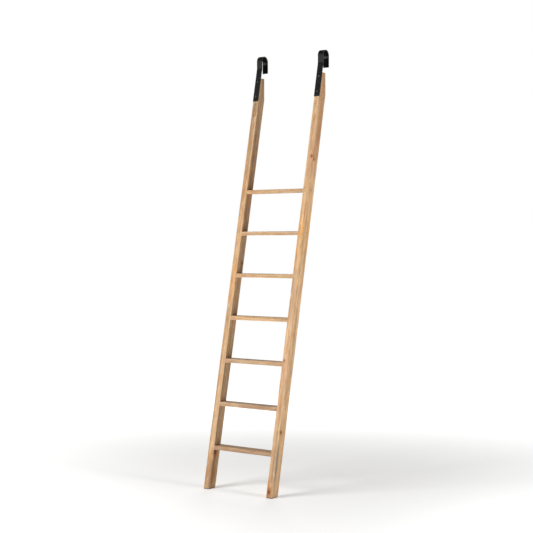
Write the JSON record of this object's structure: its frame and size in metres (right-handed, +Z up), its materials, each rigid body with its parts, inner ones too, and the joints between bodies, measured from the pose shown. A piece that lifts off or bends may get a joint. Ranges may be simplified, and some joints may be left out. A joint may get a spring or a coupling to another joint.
{
  "type": "library ladder",
  "caption": "Leaning wooden library ladder with level treads, feet cut level and black iron hooks that reach over a bookcase rail.",
  "frame": {"origin": "on the floor, in the middle of the ladder's outer box", "axes": "+Z up, +X across the ladder to the climber's right, +Y back towards the bookcase that the ladder leans on"},
  "size_m": [0.485, 0.613, 2.5765],
  "materials": {
    "stringer_pine": "clear-oiled knotty pine with straight grain along the stringer, satin to matte",
    "rung_pine": "clear-oiled knotty pine with the grain along the tread, satin to matte",
    "plug_pine": "face-grain plug, sanded flush",
    "hook_iron": "black powder coat, matte, slightly uneven, worn at the edges",
    "hook_screw_black": "black oxide, satin, brighter on the dome",
    "rung_screw_steel": "zinc-plated",
    "pad_rubber": "matte"
  },
  "bodies": {
    "root": {"left_stringer": "stringer_pine", "right_stringer": "stringer_pine", "rung_1": "rung_pine", "rung_2": "rung_pine", "rung_3": "rung_pine", "rung_4": "rung_pine", "rung_5": "rung_pine", "rung_6": "rung_pine", "rung_7": "rung_pine", "left_hook": "hook_iron", "left_hook_upper_screw": "hook_screw_black", "left_hook_lower_screw": "hook_screw_black", "right_hook": "hook_iron", "right_hook_upper_screw": "hook_screw_black", "right_hook_lower_screw": "hook_screw_black", "rung_1_left_screw": "rung_screw_steel", "rung_1_left_plug": "plug_pine", "rung_1_right_screw": "rung_screw_steel", "rung_1_right_plug": "plug_pine", "rung_2_left_screw": "rung_screw_steel", "rung_2_left_plug": "plug_pine", "rung_2_right_screw": "rung_screw_steel", "rung_2_right_plug": "plug_pine", "rung_3_left_screw": "rung_screw_steel", "rung_3_left_plug": "plug_pine", "rung_3_right_screw": "rung_screw_steel", "rung_3_right_plug": "plug_pine", "rung_4_left_screw": "rung_screw_steel", "rung_4_left_plug": "plug_pine", "rung_4_right_screw": "rung_screw_steel", "rung_4_right_plug": "plug_pine", "rung_5_left_screw": "rung_screw_steel", "rung_5_left_plug": "plug_pine", "rung_5_right_screw": "rung_screw_steel", "rung_5_right_plug": "plug_pine", "rung_6_left_screw": "rung_screw_steel", "rung_6_left_plug": "plug_pine", "rung_6_right_screw": "rung_screw_steel", "rung_6_right_plug": "plug_pine", "rung_7_left_screw": "rung_screw_steel", "rung_7_left_plug": "plug_pine", "rung_7_right_screw": "rung_screw_steel", "rung_7_right_plug": "plug_pine", "left_foot_pad": "pad_rubber", "right_foot_pad": "pad_rubber"}
  },
  "joints": []
}
